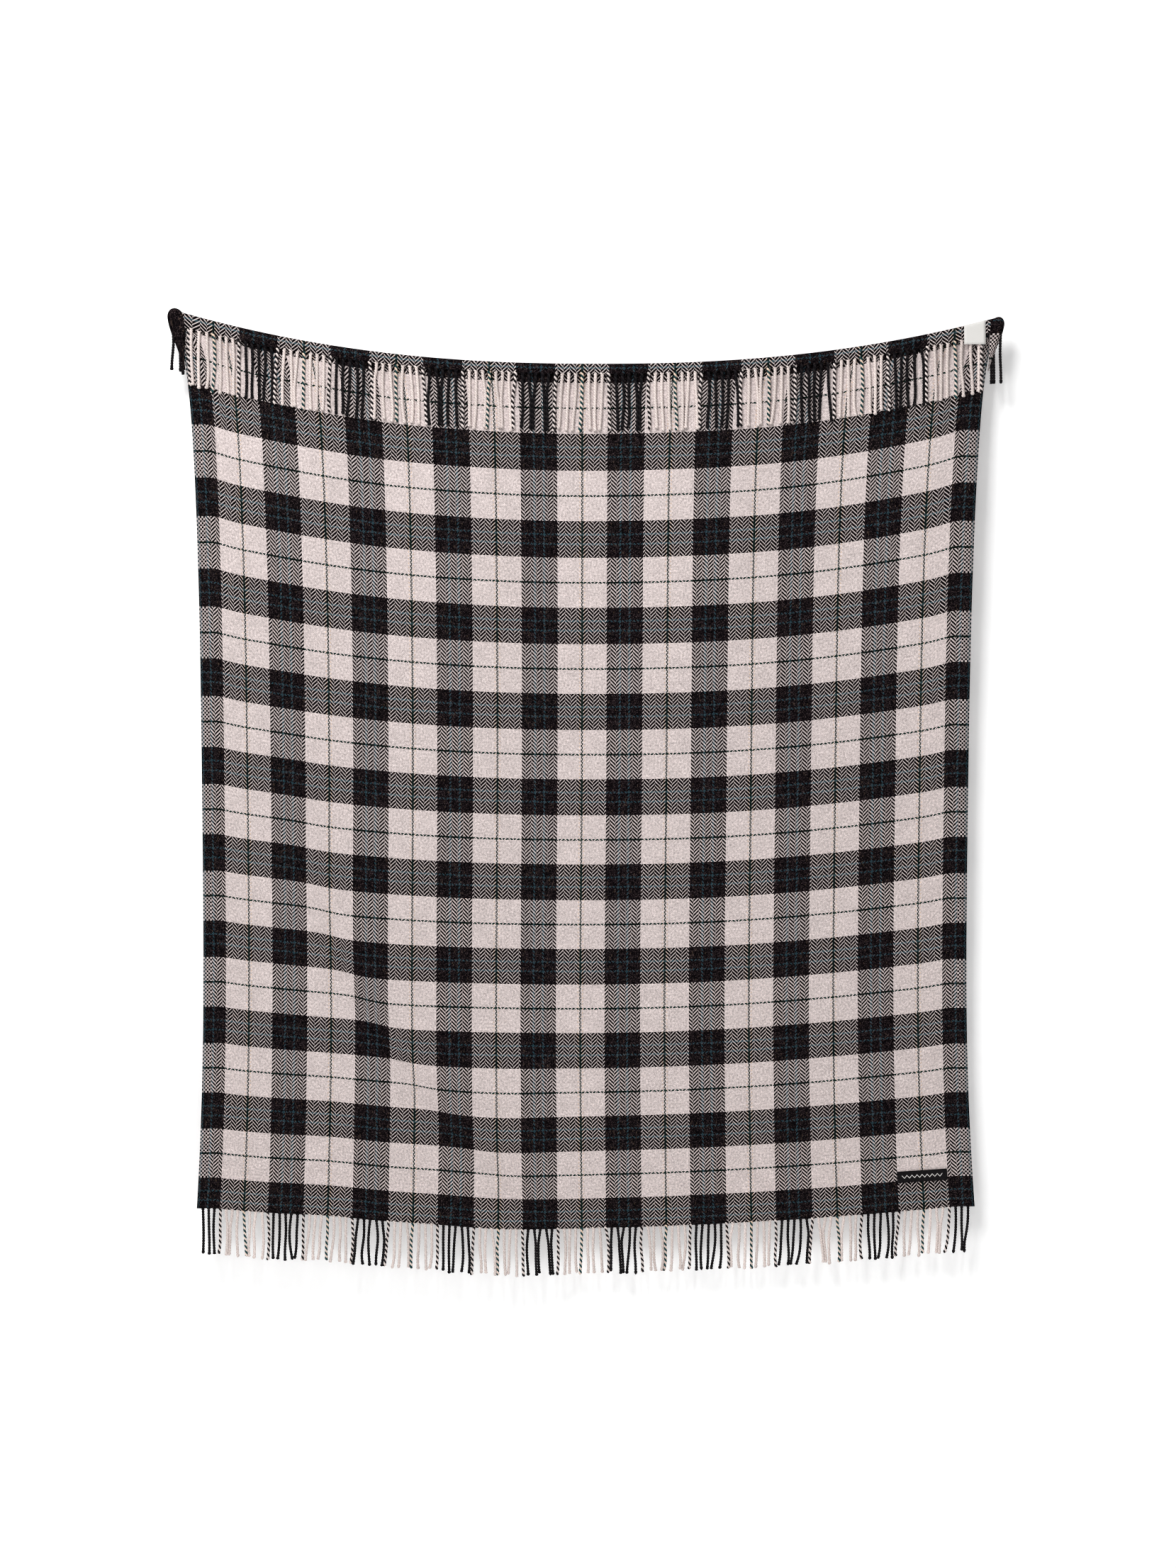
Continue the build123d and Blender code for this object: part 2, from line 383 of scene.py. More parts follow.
# The wool's shades. Each varies by its swing from its least, and a scale is that of its noise
OWN_SWING, OWN_LEAST = 0.16, 0.86
BROAD_SCALE, BROAD_DETAIL, BROAD_SWING, BROAD_LEAST = 0.06, 4, 0.3, 0.86
FINE_SCALE, FINE_DETAIL, FINE_SWING, FINE_LEAST = 0.5, 2, 1.3, 0.27
# The first darkens the gaps between floats as painted shade; the second darkens pale beside black, partly for
# black fibres and partly as painted shade
GAP_PAINTED_SHADE, BESIDE_BLACK_FIBRES_AND_PAINTED_SHADE = 0.2, 0.2  # how much darker
SPECK_SHARE, SPECK_STRENGTH = 0.025, 0.08
TEAL_FIBRES = 0.08
NAP_SCALE, NAP_GAIN, PALE_NAP_LOSS = 0.55, 6, 0.8

# Its relief: how much lower the ends of a float and the sides of a thread are, and the fuzz over them
FLOAT_END_RELIEF, THREAD_SIDE_RELIEF = 0.6, 0.4
THREAD_RELIEF, FUZZ_RELIEF, FUZZ_SCALE = 0.6, 0.8, 2.5


def yarn_colours(tree, thread, is_warp):
    """A thread's colour, by its number from a pale stripe's middle, and whether it's pale, teal or green."""
    from_pale = abs((thread + SETT_THREADS / 2) % SETT_THREADS - MIDDLE_THREAD)
    from_black = abs(thread % SETT_THREADS - MIDDLE_THREAD)
    colour = mix(tree, from_pale > PALE_EDGE, NATURAL, BLACK)
    teal = (from_black > TEAL_FROM) * (from_black < TEAL_TO)
    colour = mix(tree, teal, colour, TEAL)
    if is_warp:
        colour = mix(tree, (from_pale > PEACH_FROM) * (from_pale < PEACH_TO), colour, PEACH)
    green = from_pale < GREEN_EDGE
    return mix(tree, green, colour, GREEN), from_pale < PALE_EDGE, teal, green


def rounded(field):
    """0 along the middle of a thread or float and 1 at its edges, from 0 to 1 across it."""
    return abs(field - 0.5) * 2


def weave_material():
    """Herringbone twill: each thread keeps its plaid colour, and the weave says if warp or weft shows."""
    material, shader, tree = new_material("plaid weave", roughness=1.0, specular=0)
    uv, along_weft, along_warp = weave_place(tree)
    wobble = noise(tree, uv, WOBBLE_SCALE) - 0.5
    across, down = along_weft + wobble * WOBBLE, along_warp + wobble * WOBBLE
    end, pick = across.floor(), down.floor()

    # How far along its twill line a place is. The lines reverse and break, and the sides are a basket weave
    turn = across % (2 * CHEVRON)
    line = (down - abs(turn - CHEVRON) + (turn > CHEVRON) * BREAK) % TWILL
    second_pair = (end % TWILL) > TWILL / 2 - 0.5
    basket = (pick + second_pair * (TWILL / 2)) % TWILL + 0.5
    at_side = abs(across) > HALF_WIDTH / THREAD - SIDE_BASKET
    line = line + (basket - line) * at_side

    # The first part of each line is a warp float, shortest in the pale stripes, and the rest is a weft float
    weft_colour, weft_pale, weft_teal, _ = yarn_colours(tree, pick - FIRST_MIDDLE, is_warp=False)
    warp_colour, warp_pale, warp_teal, warp_green = yarn_colours(tree, end, is_warp=True)
    share = warp_pale * -PALE_LOSS + warp_green * GREEN_GAIN + WARP_FLOAT
    warp_shows = line < share
    weft_shows = warp_shows.flip()
    float_end = rounded(line / share) * warp_shows
    float_end = float_end + rounded((line - share) / (share * -1 + TWILL)) * weft_shows
    thread_side = rounded(across - end) * warp_shows + rounded(down - pick) * weft_shows
    relief = float_end * float_end * FLOAT_END_RELIEF + thread_side * thread_side * THREAD_SIDE_RELIEF
    relief = relief.flip()

    # Each float has its own shade in cloudy wool; painted shade darkens the gaps, and black fibres and
    # painted shade darken pale beside black
    colour = mix(tree, warp_shows, weft_colour, warp_colour)
    float_noise = tree.nodes.new("ShaderNodeTexWhiteNoise")
    tree.links.new(join(tree, end, (pick / 2).floor()), float_noise.inputs["Vector"])
    chance = Field(tree, float_noise.outputs["Value"])
    own = chance * OWN_SWING + OWN_LEAST
    broad = noise(tree, uv, BROAD_SCALE, BROAD_DETAIL) * BROAD_SWING + BROAD_LEAST
    fine = noise(tree, uv, FINE_SCALE, FINE_DETAIL) * FINE_SWING + FINE_LEAST
    # painted shade in the gaps between floats
    gap = float_end * float_end * float_end * -GAP_PAINTED_SHADE + 1
    # pale beside black is darker: black fibres mixed in, and painted shade
    beside_black_fibres_and_shade = abs(weft_pale - warp_pale) * -BESIDE_BLACK_FIBRES_AND_PAINTED_SHADE + 1
    colour = shade(tree, colour, own * (broad * fine) * gap * beside_black_fibres_and_shade)

    # A few brown specks, teal fibres where a teal thread crosses pale wool, and grey nap where all is black
    colour = mix(tree, (chance > 1 - SPECK_SHARE) * SPECK_STRENGTH, colour, SPECK)
    teal_crosses_pale = weft_teal * warp_pale + warp_teal * weft_pale
    colour = mix(tree, teal_crosses_pale * TEAL_FIBRES, colour, TEAL_NAP)
    nap = abs(noise(tree, uv, NAP_SCALE) - 0.5) * NAP_GAIN
    darkness = (weft_pale + warp_pale) * -PALE_NAP_LOSS + 1
    colour = mix(tree, nap * nap * darkness, colour, BLACK_NAP, "ADD")
    tree.links.new(colour, shader.inputs["Base Color"])
    fuzz = noise(tree, uv, FUZZ_SCALE)
    bump(tree, shader, relief * THREAD_RELIEF + fuzz * FUZZ_RELIEF, distance=0.5 * MM, strength=0.7)
    return material


# ---- The other materials

FIBRE_SCALE, FIBRE_SWING, FIBRE_LEAST = 900, 1.2, 0.4

# The woven label's zigzag, in millimetres: one limb's width, the height, the line's width and half the run
ZIGZAG_LIMB, ZIGZAG_HEIGHT, ZIGZAG_LINE, ZIGZAG_REACH = 4.5, 5, 1.8, 36
TAPE_BLACK, TAPE_WHITE = (0.006, 0.005, 0.006), (0.60, 0.58, 0.56)
SATIN_WHITE, SATIN_RIBS = (0.66, 0.645, 0.62, 1), 3  # ribs in a millimetre


def yarn_material(name, sheen):
    """Twisted yarn that takes its colour from the strand's plies, with fine fibres along them."""
    material, shader, tree = new_material(name, roughness=0.95, specular=0.05, sheen=sheen)
    colour = tree.nodes.new("ShaderNodeVertexColor")
    colour.layer_name = "yarn"
    place = tree.nodes.new("ShaderNodeTexCoord").outputs["Object"]
    fibre = noise(tree, place, FIBRE_SCALE)
    level = fibre * FIBRE_SWING + FIBRE_LEAST
    tree.links.new(shade(tree, colour.outputs[0], level), shader.inputs["Base Color"])
    bump(tree, shader, fibre, distance=0.4 * MM, strength=0.6)
    return material


def tape_material():
    """Black woven tape with a generic pale zigzag along its middle."""
    material, shader, tree = new_material("label tape", roughness=0.8, specular=0.1)
    _, along, up = weave_place(tree)
    zigzag = abs((along / ZIGZAG_LIMB) % 2 - 1) * ZIGZAG_HEIGHT - ZIGZAG_HEIGHT / 2
    line = (abs(up - zigzag) < ZIGZAG_LINE / 2) * (abs(along) < ZIGZAG_REACH)
    rib = rounded((along + up) % 1.0)
    tree.links.new(mix(tree, line, TAPE_BLACK, TAPE_WHITE), shader.inputs["Base Color"])
    bump(tree, shader, rib + line, distance=0.2 * MM, strength=0.8)
    return material


def satin_material():
    """Pale satin ribbon, finely ribbed across."""
    material, shader, tree = new_material("label satin", roughness=0.38)
    shader.inputs["Base Color"].default_value = SATIN_WHITE
    _, _, up = weave_place(tree)
    rib = rounded((up * SATIN_RIBS) % 1.0)
    bump(tree, shader, rib, distance=0.08 * MM, strength=0.6)
    return material


# ---- The cloth


def simulate_ripples(drops, acrosses):
    """How far the hanging body moves out of its plane, from a short cloth simulation of a coarse sheet."""
    frames = 50
    across, drop = np.meshgrid(acrosses, drops)
    x, z = hung_x(across, drop), hung_z(across, drop)
    start = np.stack([x, hung_y(x, z), z], -1)
    sheet = new_object("simulated_sheet", start.reshape(-1, 3), grid_faces(len(drops), len(acrosses)))
    held = sheet.vertex_groups.new(name="held")
    held.add(list(range(len(acrosses))), 1.0, "REPLACE")
    cloth = sheet.modifiers.new("cloth", "CLOTH")
    settings = cloth.settings
    settings.quality = 8
    settings.mass = 0.02
    settings.vertex_group_mass = "held"
    settings.tension_stiffness = settings.compression_stiffness = 40
    settings.shear_stiffness = 25
    settings.bending_stiffness = 3
    settings.air_damping = 3
    settings.shrink_min = -0.008  # let out by this share, so the slack hangs in ripples
    cloth.collision_settings.use_collision = False
    scene = bpy.context.scene
    scene.frame_start, scene.frame_end = 1, frames
    for frame_number in range(1, frames + 1):
        scene.frame_set(frame_number)
    settled = sheet.evaluated_get(bpy.context.evaluated_depsgraph_get()).to_mesh()
    points = np.empty(len(settled.vertices) * 3)
    settled.vertices.foreach_get("co", points)
    scene.frame_set(1)
    bpy.data.objects.remove(sheet)
    return points.reshape(len(drops), len(acrosses), 3)[..., 1] - start[..., 1]


COARSE_ACROSS = np.linspace(-HALF_WIDTH, HALF_WIDTH, 46)
COARSE_DROP = np.linspace(0, BODY_LENGTH, 50)
DEEPEST_RIPPLE = 8 * MM


def spline_weights(value, knots):
    """The four knots around a value, and the cubic spline's weight of each."""
    place = np.clip((value - knots[0]) / (knots[1] - knots[0]), 0, len(knots) - 1.001)
    first = place.astype(int)
    part = place - first
    near = np.clip(np.stack([first - 1, first, first + 1, first + 2]), 0, len(knots) - 1)
    spline = [(1 - part) ** 3, 3 * part**3 - 6 * part**2 + 4, 3 * part * (1 + part - part**2) + 1, part**3]
    return near, np.stack(spline) / 6


def resample(coarse, across, drop):
    """A smooth field over the cloth from its values on the coarse sheet."""
    rows, row_weights = spline_weights(drop, COARSE_DROP)
    columns, column_weights = spline_weights(across, COARSE_ACROSS)
    return sum(
        row_weight * column_weight * coarse[row, column]
        for row, row_weight in zip(rows, row_weights)
        for column, column_weight in zip(columns, column_weights)
    )


ripples = np.zeros((len(COARSE_DROP), len(COARSE_ACROSS)))
ripples = simulate_ripples(COARSE_DROP, COARSE_ACROSS)
ripples *= min(1.0, DEEPEST_RIPPLE / max(1e-9, np.abs(ripples).max()))


def body_place(across, drop):
    """Where the body's thread hangs, mid-cloth."""
    across, drop = np.broadcast_arrays(np.asarray(across, float), np.asarray(drop, float))
    x, z = hung_x(across, drop), hung_z(across, drop)
    return np.stack([x, hung_y(x, z) + resample(ripples, across, drop), z], -1)


def front_face(x, z):
    """Depth of the hanging body's front face at a place seen from the front."""
    stretch, probe = 1.04, 0.3  # a mean of the stretch, and a place across to read the width at
    drop = np.maximum(0, fold_height(x) - z) / stretch
    across = x * probe / plain_x(probe, drop)
    return hung_y(x, z) + resample(ripples, across, drop) - CLOTH_THICKNESS / 2


def build_cloth():
    """One grid from the flap's raw edge, up and over the fold, and down to the hem."""
    columns, flap_rows, ring_rows, body_rows = 150, 4, 9, 160
    across = np.linspace(-HALF_WIDTH, HALF_WIDTH, columns)
    rows, picks = [], []
    fold_x = hung_x(across, 0 * across)
    centre = fold_height(fold_x) - FOLD_RADIUS
    for t in np.linspace(1, 0, flap_rows, endpoint=False):
        below = t * (flap_depth(fold_x) - FOLD_RADIUS)
        rows.append(np.stack([fold_x, -FOLD_RADIUS + 0 * fold_x, centre - below], -1))
        picks.append(CREST_PICK - math.pi / 2 * FOLD_RADIUS - below)
    for angle in np.linspace(math.pi, 0, ring_rows, endpoint=False):
        y, up = FOLD_RADIUS * math.cos(angle), FOLD_RADIUS * math.sin(angle)
        rows.append(np.stack([fold_x, y + 0 * fold_x, centre + up], -1))
        picks.append(CREST_PICK + FOLD_RADIUS * (math.pi / 2 - angle) + 0 * fold_x)
    for drop in np.linspace(FOLD_RADIUS, BODY_LENGTH, body_rows):
        rows.append(body_place(across, drop))
        picks.append(CREST_PICK + drop + 0 * across)
    rows, picks = np.array(rows), np.array(picks)
    cloth = new_object("woven_cloth", rows.reshape(-1, 3), grid_faces(len(rows), columns))
    uv = np.stack([np.broadcast_to(across, picks.shape), picks], -1) / THREAD
    set_uv(cloth, uv.reshape(-1, 2))
    thicken(cloth, CLOTH_THICKNESS)
    return cloth


# A bunch is a lobe, as a share of its length, that narrows to a tail and has gathered pleats
LOBE, TAPER_START, TAPER_RUN, TAPER = 0.17, 0.18, 0.8, 0.88
LEAST_WIDTH, FLATNESS, BUNCH_FORWARD = 0.02, 0.75, 1 * MM
PLEAT_DEPTH, PLEATS, PLEAT_TWIST, PLEAT_TURN = 0.07, 5, 2.5, 2
PLEAT_LEAST, PLEAT_GROWTH = 0.3, 2
BUNCH_THREAD, BUNCH_THREADS = 417, 6  # the warp threads in it: its middle one, and how many each way
BUNCH_SWINGS = 2  # how often its picks rise and fall down its length
ROW_CROWDING = 1.3  # the mesh's rows are closest at the top, where the lobe is rounded


def build_bunch(name, corner_x, inward, radius, top, length, lean, picks):
    """The cloth's corner where it is held: a lobe with gathered pleats, and a tail along the cloth's side.

    picks says which picks it shows: the first one, how many pass down its length, and how far they swing.
    """
    rows, columns = 46, 56
    turn = np.linspace(0, 2 * math.pi, columns, endpoint=False)
    turn, down = np.meshgrid(turn, np.linspace(0, 1, rows) ** ROW_CROWDING)
    lobe = np.sqrt(1 - (1 - np.minimum(1, down / LOBE)) ** 2)
    taper = 1 - TAPER * smooth((down - TAPER_START) / TAPER_RUN)
    half_wide = radius * np.maximum(LEAST_WIDTH, lobe) * taper
    half_deep = np.minimum(BUNCH_RADIUS, FLATNESS * half_wide)
    fullness = np.minimum(1, PLEAT_LEAST + PLEAT_GROWTH * down)
    pleat = 1 - PLEAT_DEPTH * (1 + np.cos(PLEATS * turn + PLEAT_TWIST * down + PLEAT_TURN)) * fullness
    outward = np.cos(turn)
    x = corner_x + inward * (radius + lean * down - half_wide * pleat * outward)
    y = half_deep * pleat * np.sin(turn) - BUNCH_FORWARD
    z = fold_height(corner_x) + top - length * down
    bunch = new_object(name, np.stack([x, y, z], -1).reshape(-1, 3), grid_faces(rows, columns, closed=True))
    first, passed, swing = picks
    pick = first + passed * down + swing * np.cos(2 * math.pi * BUNCH_SWINGS * down)
    thread = -inward * (BUNCH_THREAD + BUNCH_THREADS * outward)
    set_uv(bunch, np.stack([thread, pick], -1).reshape(-1, 2))
    return bunch


# ---- The tassels

# Two plies each, by the kind of stripe that the tassel's warp ends come from
DARK_PLIES = ((0.004, 0.0035, 0.0045), (0.013, 0.011, 0.012))
PALE_PLIES = ((0.70, 0.615, 0.585), (0.65, 0.565, 0.535))
TWO_TONE_PLIES = (PALE_PLIES[0], (0.009, 0.008, 0.009))
MARLED_PLIES = ((0.74, 0.64, 0.60), (0.010, 0.042, 0.046))
TASSEL_KINDS = {
    "dark": (DARK_PLIES, "black_wool"),
    "pale": (PALE_PLIES, "natural_wool"),
    "two": (TWO_TONE_PLIES, "two_tone_wool"),
    "marled": (MARLED_PLIES, "marled_wool"),
}
TWIST_PITCH = 9.4 * MM
PLY_RADIUS, PLY_OFFSET = 1.55 * MM, 1.05 * MM
BOTTOM_FULLNESS, TOP_FULLNESS = 1.03, 1.1
PLY_SIDES = 6
RINGS_PER_TURN = 6
FAN, FAN_LENGTH = 1.5, 5 * MM  # how the plies fan out where they leave the cloth
TIP_LENGTH, LEAST_TIP = 1.6 * MM, 0.02  # and round off at the end
KNOT, KNOT_HEIGHT, KNOT_LENGTH = 0.22, 2.5 * MM, 3 * MM  # the slight knot above that
ROOT_DEPTH = 1.5 * MM  # how far a tassel's root is inside the cloth's edge
SHADE_SPREAD = 0.05  # how much the tassels differ in shade
PEACH_LEAST, PEACH_ROOT = 0.3, 0.5  # how peach a marled tassel's pale ply is, and how much more at its root
EDGE_STRAND = 4  # the strand on a stripe's edge, counted from the middle of the pale stripe
PALE_STRIPES, DARK_STRIPES = 9, 10


def strand_group(number):
    """The CAD node of a strand goes by where its warp ends lie in the plaid."""
    place = (number + STRANDS_PER_SETT // 2) % STRANDS_PER_SETT - STRANDS_PER_SETT // 2
    if place == 0:
        return "marled"
    if abs(place) == EDGE_STRAND:
        return "two_tone"
    if abs(place) < EDGE_STRAND:
        return f"pale_{round(number / STRANDS_PER_SETT) + PALE_STRIPES // 2 + 1}"
    return f"dark_{number // STRANDS_PER_SETT + DARK_STRIPES // 2 + 1}"


def tube(path, radii):
    """Rings of points around a path, which make a tube."""
    turn = np.linspace(0, 2 * math.pi, PLY_SIDES, endpoint=False)
    ahead = np.gradient(path, axis=0)
    ahead /= np.linalg.norm(ahead, axis=1, keepdims=True)
    side = np.cross(ahead, (0, 1, 0))
    side /= np.linalg.norm(side, axis=1, keepdims=True)
    out = np.cross(side, ahead)
    ring = np.cos(turn)[None, :, None] * side[:, None] + np.sin(turn)[None, :, None] * out[:, None]
    return path[:, None] + radii[:, None, None] * ring


def strand_points(centreline, lengths, phase, fullness):
    """The two plies of a twisted strand, fanned out where it leaves the cloth and rounded at its tip."""
    plies = []
    left = lengths[-1] - lengths
    fan = 1 + FAN * np.clip(1 - lengths / FAN_LENGTH, 0, 1) ** 2
    tip = np.sqrt(np.clip(left / TIP_LENGTH, LEAST_TIP, 1))
    knot = 1 + KNOT * bell(left - KNOT_HEIGHT, KNOT_LENGTH)
    for ply in (0, 1):
        turn = 2 * math.pi * lengths / TWIST_PITCH + phase + ply * math.pi
        offset = fullness * PLY_OFFSET * knot * np.sqrt(tip)
        path = centreline + np.stack([offset * fan * np.cos(turn), offset * np.sin(turn), 0 * turn], -1)
        plies.append(tube(path, fullness * PLY_RADIUS * knot * tip))
    return plies


# How the strands hang. The bow, curl and length vary as shares of the fringe's spread or length
BOW, CURL, LENGTH_SPREAD = 0.45, 0.30, 0.018
LEAN_NEIGHBOURS = 9  # strands this close lean alike
LEAN_POWER = 1.4
MEETING_GAP, MEETING_FROM, MEETING_TO = 4 * MM, 0.35, 0.7  # how close, and how far down, a pair meets
LEAST_GAP, PARTING_PASSES, PARTING_SHARE = 4.5 * MM, 40, 0.15
SWAY, SWAY_POWER = 2 * MM, 1.5  # of the bottom strands, in depth
LYING_SHARE = 0.45  # the share of its length in which a top strand comes to lie on the body


def lay_strands(roots, length, spread, lean, pairs):
    """Where a fringe's strands run: each leans and bows a little, some meet in pairs, and all stay apart."""
    count = round(max(length) / TWIST_PITCH * RINGS_PER_TURN) + 2
    t = np.linspace(0, 1, count)
    strands = len(roots)
    shift = rng.normal(0, spread, strands)
    common = rng.normal(0, lean, strands + LEAN_NEIGHBOURS - 1)
    shift += np.convolve(common, np.ones(LEAN_NEIGHBOURS) / math.sqrt(LEAN_NEIGHBOURS), "valid")
    bow = rng.normal(0, BOW * spread, strands)
    curl = rng.normal(0, CURL * spread, strands)
    x = roots[:, 0, None] + shift[:, None] * t**LEAN_POWER + bow[:, None] * np.sin(math.pi * t)
    x += curl[:, None] * np.sin(2 * math.pi * t) * t
    for first in np.flatnonzero(rng.random(strands - 1) < pairs):
        meet = rng.uniform(MEETING_FROM, MEETING_TO)
        gap = x[first + 1] - x[first] - MEETING_GAP
        x[first] += gap / 2 * smooth(t / meet)
        x[first + 1] -= gap / 2 * smooth(t / meet)
    for _ in range(PARTING_PASSES):
        close = np.maximum(0, LEAST_GAP - np.diff(x, axis=0)) / 2 * smooth(t / PARTING_SHARE)
        x[:-1] -= close
        x[1:] += close
    reach = length * rng.normal(1, LENGTH_SPREAD, strands)
    z = roots[:, 2, None] - reach[:, None] * t
    return x, z, t


def build_fringe(name, roots, length, spread, lean, pairs, depth, fullness):
    """A mesh for each CAD node of the fringe. depth(x, z, t, roots) is how deep the strands run."""
    x, z, t = lay_strands(roots, length, spread, lean, pairs)
    y = depth(x, z, t, roots)
    groups = {}
    for index, number in enumerate(range(-OUTER_STRAND, OUTER_STRAND + 1)):
        groups.setdefault(strand_group(number), []).append(index)
    pieces = []
    for group, members in groups.items():
        ply_colours, slot = TASSEL_KINDS[group.split("_")[0]]
        full = fullness if group.startswith("dark") else fullness**2
        points, faces, colours = [], [], []
        base = 0
        for index in members:
            line = np.stack([x[index], y[index], z[index]], -1)
            steps = np.linalg.norm(np.diff(line, axis=0), axis=1)
            lengths = np.concatenate([[0], np.cumsum(steps)])
            own = rng.normal(1, SHADE_SPREAD)
            phase = rng.uniform(0, 2 * math.pi)
            for ply, ring in enumerate(strand_points(line, lengths, phase, full)):
                faces.append(grid_faces(len(ring), PLY_SIDES, closed=True) + base)
                points.append(ring.reshape(-1, 3))
                base += len(ring) * PLY_SIDES
                colour = np.tile(np.array(ply_colours[ply]) * own, (len(ring), 1))
                if group == "marled" and ply == 0:
                    peach = PEACH_LEAST + PEACH_ROOT * smooth(1 - 2 * t)
                    colour += (np.array(PEACH) - colour) * peach[:, None]
                colours.append(np.repeat(colour, PLY_SIDES, axis=0))
        tassels = new_object(f"{name}_{group}_yarn", np.vstack(points), np.vstack(faces))
        set_colour(tassels, np.vstack(colours))
        pieces.append(finish_piece(tassels, YARN, slot, f"{name}_{group}"))
    return pieces


def bottom_depth(x, z, t, roots):
    """Bottom strands hang from the hem and sway a little."""
    sway = rng.normal(0, SWAY, (len(x), 1)) * t**SWAY_POWER
    return roots[:, 1, None] + sway


def top_depth(x, z, t, roots):
    """Top strands leave the flap and lie back against the body."""
    lying = front_face(x, z) - TOP_FULLNESS**2 * (PLY_RADIUS + PLY_OFFSET)
    return roots[:, 1, None] + (lying - roots[:, 1, None]) * smooth(t / LYING_SHARE)


# ---- The labels

LABEL_X, LABEL_Z, LABEL_TILT = 606 * MM, -1444 * MM, math.radians(4.1)
LABEL_WIDTH, LABEL_HEIGHT, LABEL_THICKNESS = 89 * MM, 20 * MM, 0.8 * MM
LABEL_GAP, LABEL_CROWN = 0.55 * MM, 0.8 * MM  # off the cloth at its ends, and how much more in its middle
LABEL_STITCHES, LABEL_STITCH_INSET = 5, 2 * MM
LABEL_STITCH_PITCH, LABEL_STITCH_HALF = 0.36, 0.12  # as shares of half the label's height
LABEL_THREAD, LABEL_STITCH_ARCH = (0.02, 0.02, 0.02), 0.35 * MM

CARE_X, CARE_WIDTH, CARE_THICKNESS = 698 * MM, 38 * MM, 0.4 * MM
CARE_FRONT, CARE_BACK = 37 * MM, 24 * MM  # how far it hangs below the crest
CARE_GAP, CARE_LIFT, CARE_LIFT_POWER = 0.6 * MM, 2.2 * MM, 1.5  # off the cloth, and more at its front edge
CARE_STITCHES, CARE_STITCH_PITCH, CARE_STITCH_HALF = 10, 3.6 * MM, 1.2 * MM
CARE_STITCH_HEM, CARE_STITCH_GAP, CARE_STITCH_LIFT = 3 * MM, 0.35 * MM, 1.74 * MM
CARE_THREAD = (0.60, 0.58, 0.55)

STITCH_RADIUS, STITCH_POINTS, STITCH_END = 0.3 * MM, 7, 0.6
STRIP_COLUMNS, LABEL_ROWS = 9, 25
CARE_FRONT_ROWS, CARE_FOLD_ROWS, CARE_BACK_ROWS = 10, 9, 8


def strip(name, path, half_span, thickness):
    """A ribbon along a path, numbered in millimetres. half_span goes from its middle line to one edge."""
    lengths = np.concatenate([[0], np.cumsum(np.linalg.norm(np.diff(path, axis=0), axis=1))])
    side = np.linspace(-1, 1, STRIP_COLUMNS)
    points = path[:, None] + side[None, :, None] * np.asarray(half_span)[None, None]
    ribbon = new_object(name, points.reshape(-1, 3), grid_faces(len(path), len(side)))
    reach = np.linalg.norm(half_span)
    along, up = np.meshgrid(lengths - lengths[-1] / 2, side * reach, indexing="ij")
    set_uv(ribbon, np.stack([along, up], -1).reshape(-1, 2) / MM)
    thicken(ribbon, thickness)
    return ribbon


def stitches(name, ends, colour, arch_height):
    """Short threads, each one an arch from its first end to its second."""
    points, faces = [], []
    t = np.linspace(0, 1, STITCH_POINTS)
    taper = np.where((t == 0) | (t == 1), STITCH_END, 1)
    for start, stop in ends:
        path = start + (stop - start) * t[:, None]
        path[:, 1] -= arch_height * np.sin(math.pi * t)
        ring = tube(path, STITCH_RADIUS * taper)
        faces.append(grid_faces(len(t), PLY_SIDES, closed=True) + sum(len(p) for p in points))
        points.append(ring.reshape(-1, 3))
    thread = new_object(name, np.vstack(points), np.vstack(faces))
    set_colour(thread, np.tile(colour, (len(thread.data.vertices), 1)))
    return thread


def build_woven_label():
    """The label low on the right, tilted as the rows are there, and the stitches at its two ends."""
    along = np.linspace(-LABEL_WIDTH / 2, LABEL_WIDTH / 2, LABEL_ROWS)
    x = LABEL_X + along * math.cos(LABEL_TILT)
    z = LABEL_Z + along * math.sin(LABEL_TILT)
    y = front_face(x, z) - LABEL_GAP - LABEL_CROWN * np.cos(math.pi * along / LABEL_WIDTH)
    path = np.stack([x, y, z], -1)
    half_up = np.array([-math.sin(LABEL_TILT), 0, math.cos(LABEL_TILT)]) * LABEL_HEIGHT / 2
    label = strip("label_tape", path, half_up, LABEL_THICKNESS)
    ends = []
    for end, inward in ((path[0], 1), (path[-1], -1)):
        for row in np.arange(LABEL_STITCHES) - LABEL_STITCHES // 2:
            middle = end + np.array([inward * LABEL_STITCH_INSET, -LABEL_GAP, 0])
            middle += half_up * row * LABEL_STITCH_PITCH
            half = half_up * LABEL_STITCH_HALF
            ends.append((middle - half, middle + half))
    return label, stitches("label_tape_thread", ends, LABEL_THREAD, LABEL_STITCH_ARCH)


